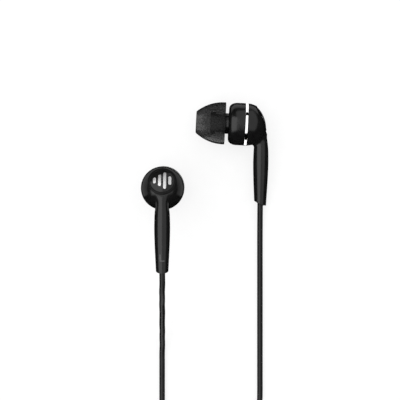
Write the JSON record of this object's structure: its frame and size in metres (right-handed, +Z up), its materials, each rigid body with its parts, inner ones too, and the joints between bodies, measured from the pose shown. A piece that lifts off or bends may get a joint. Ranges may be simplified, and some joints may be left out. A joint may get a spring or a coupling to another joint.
{
  "type": "wired earphones",
  "caption": "In-ear earphones with silicone tips, round housings with a chrome trim ring and a domed cap, stems, and a coiled cord ending in a 3.5 mm stereo plug.",
  "frame": {"origin": "centre of the footprint of the two earpieces, at the height of the table they lie on", "axes": "+Z up from the table; the stems and cords run towards -Y; +X runs from the left earpiece towards the right one"},
  "size_m": [0.0514, 0.1352, 0.0209],
  "materials": {
    "tip_silicone": "translucent smoke-grey silicone, satin",
    "steel_mesh": "fine perforated screen",
    "shell_plastic": "black moulded plastic, satin gloss",
    "chrome_trim": "bright polished trim",
    "bezel_plastic": "black gloss",
    "cap_gloss": "black piano gloss with a pale printed mark",
    "steel_plate": "plated steel",
    "membrane_film": "thin polymer film",
    "copper_wire": "enamelled copper winding",
    "magnet": "nickel-plated magnet",
    "driver_plastic": "black moulded basket",
    "felt": "acoustic felt",
    "circuit_board": "green solder mask",
    "wire_enamel": "enamelled litz wire",
    "cord_jacket": "black soft jacket, satin",
    "brass_crimp": "pressed brass",
    "grommet_rubber": "black soft rubber",
    "moulded_rubber": "black moulded overmould, satin",
    "core_plastic": "natural moulded plastic",
    "contact_gold": "gold-plated contact",
    "insulator": "black insulator",
    "tie_strap": "woven hook-and-loop strap"
  },
  "bodies": {
    "headset": {"left_nozzle_screen": "steel_mesh", "left_front_shell": "shell_plastic", "left_trim_ring": "chrome_trim", "left_rear_shell": "shell_plastic", "left_cap_bezel": "bezel_plastic", "left_cap_disc": "cap_gloss", "left_driver_cover": "steel_plate", "left_surround": "membrane_film", "left_top_plate": "steel_plate", "left_magnet": "magnet", "left_yoke": "steel_plate", "left_driver_frame": "driver_plastic", "left_damping_felt": "felt", "left_terminal_board": "circuit_board", "left_lead_wires": "wire_enamel", "left_cord_end": "cord_jacket", "left_cord_crimp": "brass_crimp", "left_cord_grommet": "grommet_rubber", "right_nozzle_screen": "steel_mesh", "right_front_shell": "shell_plastic", "right_trim_ring": "chrome_trim", "right_rear_shell": "shell_plastic", "right_cap_bezel": "bezel_plastic", "right_cap_disc": "cap_gloss", "right_driver_cover": "steel_plate", "right_surround": "membrane_film", "right_top_plate": "steel_plate", "right_magnet": "magnet", "right_yoke": "steel_plate", "right_driver_frame": "driver_plastic", "right_damping_felt": "felt", "right_terminal_board": "circuit_board", "right_lead_wires": "wire_enamel", "right_cord_end": "cord_jacket", "right_cord_crimp": "brass_crimp", "right_cord_grommet": "grommet_rubber", "left_cord": "cord_jacket", "right_cord": "cord_jacket", "cord_coil": "cord_jacket", "coil_tie": "tie_strap", "left_splitter_lead": "cord_jacket", "right_splitter_lead": "cord_jacket", "splitter_body": "moulded_rubber", "splitter_core": "core_plastic", "main_cord": "cord_jacket", "plug_cord": "cord_jacket", "plug_tip": "contact_gold", "plug_insulators": "insulator", "plug_ring": "contact_gold", "plug_sleeve": "contact_gold", "plug_core": "brass_crimp", "plug_grip": "moulded_rubber", "plug_relief": "moulded_rubber"},
    "left_tip": {"left_ear_tip": "tip_silicone"},
    "left_membrane": {"left_diaphragm": "membrane_film", "left_voice_coil": "copper_wire"},
    "right_tip": {"right_ear_tip": "tip_silicone"},
    "right_membrane": {"right_diaphragm": "membrane_film", "right_voice_coil": "copper_wire"}
  },
  "joints": [
    {"name": "left_tip_pull", "type": "slide", "parent": "headset", "child": "left_tip", "axis": [0, 0.0436, -0.999], "range_m": [0, 0.006]},
    {"name": "left_membrane_stroke", "type": "slide", "parent": "headset", "child": "left_membrane", "axis": [0, -0.0436, 0.999], "range_m": [-0.0002, 0.0002], "stiffness_N_per_m": 35},
    {"name": "right_tip_pull", "type": "slide", "parent": "headset", "child": "right_tip", "axis": [-0.9988, 0.0489, 0], "range_m": [0, 0.006]},
    {"name": "right_membrane_stroke", "type": "slide", "parent": "headset", "child": "right_membrane", "axis": [0.9988, -0.0489, 0], "range_m": [-0.0002, 0.0002], "stiffness_N_per_m": 35}
  ]
}
